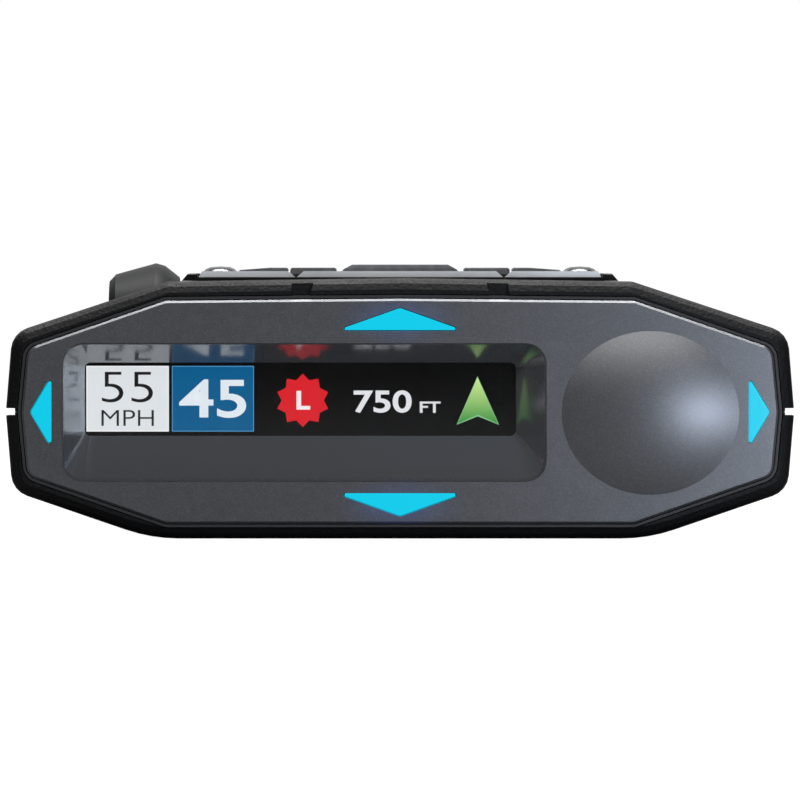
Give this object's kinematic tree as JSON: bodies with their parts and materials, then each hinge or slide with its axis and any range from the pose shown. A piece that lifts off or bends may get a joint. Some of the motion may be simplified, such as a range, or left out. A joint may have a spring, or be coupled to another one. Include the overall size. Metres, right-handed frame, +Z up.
{
  "type": "radar detector",
  "caption": "Windshield radar detector with a wide colour display, lit direction arrows, roof keys and a tilting camera barrel.",
  "frame": {"origin": "middle of the case's footprint, on the surface it stands on", "axes": "+Z up, +Y from the driver's face to the nose window, +X to the driver's right"},
  "size_m": [0.092, 0.14, 0.032],
  "materials": {
    "satin_face": "satin gunmetal with fine sparkle",
    "rubber_seal": "matt",
    "rubber_lip": "fine grained",
    "display_glass": "clear",
    "display_black": "lit readouts on black",
    "circuit_board": "solder mask",
    "case_plastic": "fine texture",
    "nose_plastic": "infrared-clear",
    "deck_black": "gloss",
    "strip_grey": "satin",
    "key_grey": "satin",
    "dome_key": "gloss",
    "barrel_grey": "smooth matt",
    "lens_glass": "coated",
    "steel": "plain",
    "gold_contact": "plated",
    "card_plastic": "matt",
    "cast_metal": "cast",
    "antenna_ceramic": "unglazed",
    "led_white": "plain",
    "screw_black": "black oxide",
    "arrow_glow": "lit from behind"
  },
  "bodies": {
    "case": {"front_bezel": "satin_face", "face_gasket": "rubber_seal", "upper_lip": "rubber_lip", "lower_lip": "rubber_lip", "display_window": "display_glass", "display_panel": "display_black", "display_board": "circuit_board", "upper_shell": "case_plastic", "lower_shell": "case_plastic", "nose_window": "nose_plastic", "control_deck": "deck_black", "deck_strip_left": "strip_grey", "deck_strip_centre": "strip_grey", "deck_strip_right": "strip_grey", "keypad_board": "circuit_board", "camera_pin": "steel", "dock_plate": "steel", "dock_contacts": "gold_contact", "power_jack": "deck_black", "audio_jack": "steel", "usb_port": "steel", "card_reader": "steel", "main_board": "circuit_board", "rf_module": "steel", "front_horn": "cast_metal", "rear_horn": "cast_metal", "gps_antenna": "antenna_ceramic", "laser_lens": "lens_glass", "laser_module": "deck_black", "speaker": "steel", "arrow_light_top": "arrow_glow", "arrow_led_top": "led_white", "arrow_light_bottom": "arrow_glow", "arrow_led_bottom": "led_white", "arrow_light_left": "arrow_glow", "arrow_led_left": "led_white", "arrow_light_right": "arrow_glow", "arrow_led_right": "led_white", "foot_front_left": "rubber_lip", "case_screw_front_left": "screw_black", "foot_front_right": "rubber_lip", "case_screw_front_right": "screw_black", "foot_rear_left": "rubber_lip", "case_screw_rear_left": "screw_black", "foot_rear_right": "rubber_lip", "case_screw_rear_right": "screw_black"},
    "power_button": {"power_key": "dome_key"},
    "volume_down_button": {"volume_down_key": "key_grey"},
    "volume_up_button": {"volume_up_key": "key_grey"},
    "mute_button": {"mute_key": "key_grey"},
    "brightness_button": {"brightness_key": "key_grey"},
    "sensitivity_button": {"sensitivity_key": "key_grey"},
    "mark_button": {"mark_key": "dome_key"},
    "camera": {"camera_barrel": "barrel_grey", "camera_ring": "deck_black", "camera_lens": "lens_glass"},
    "card": {"memory_card": "card_plastic"}
  },
  "joints": [
    {"name": "power_press", "type": "slide", "parent": "case", "child": "power_button", "axis": [0, 0, -1], "range_m": [0, 0.0003], "stiffness_N_per_m": 300},
    {"name": "volume_down_press", "type": "slide", "parent": "case", "child": "volume_down_button", "axis": [0, 0, -1], "range_m": [0, 0.0003], "stiffness_N_per_m": 300},
    {"name": "volume_up_press", "type": "slide", "parent": "case", "child": "volume_up_button", "axis": [0, 0, -1], "range_m": [0, 0.0003], "stiffness_N_per_m": 300},
    {"name": "mute_press", "type": "slide", "parent": "case", "child": "mute_button", "axis": [0, 0, -1], "range_m": [0, 0.0003], "stiffness_N_per_m": 300},
    {"name": "brightness_press", "type": "slide", "parent": "case", "child": "brightness_button", "axis": [0, 0, -1], "range_m": [0, 0.0003], "stiffness_N_per_m": 300},
    {"name": "sensitivity_press", "type": "slide", "parent": "case", "child": "sensitivity_button", "axis": [0, 0, -1], "range_m": [0, 0.0003], "stiffness_N_per_m": 300},
    {"name": "mark_press", "type": "slide", "parent": "case", "child": "mark_button", "axis": [0, 0, -1], "range_m": [0, 0.0003], "stiffness_N_per_m": 300},
    {"name": "camera_tilt", "type": "hinge", "parent": "case", "child": "camera", "pos_m": [-0.0336, 0.05, 0.0244], "axis": [1, 0, 0], "range_deg": [-12, 12]},
    {"name": "card_slide", "type": "slide", "parent": "case", "child": "card", "axis": [1, 0, 0], "range_m": [0, 0.01]}
  ]
}
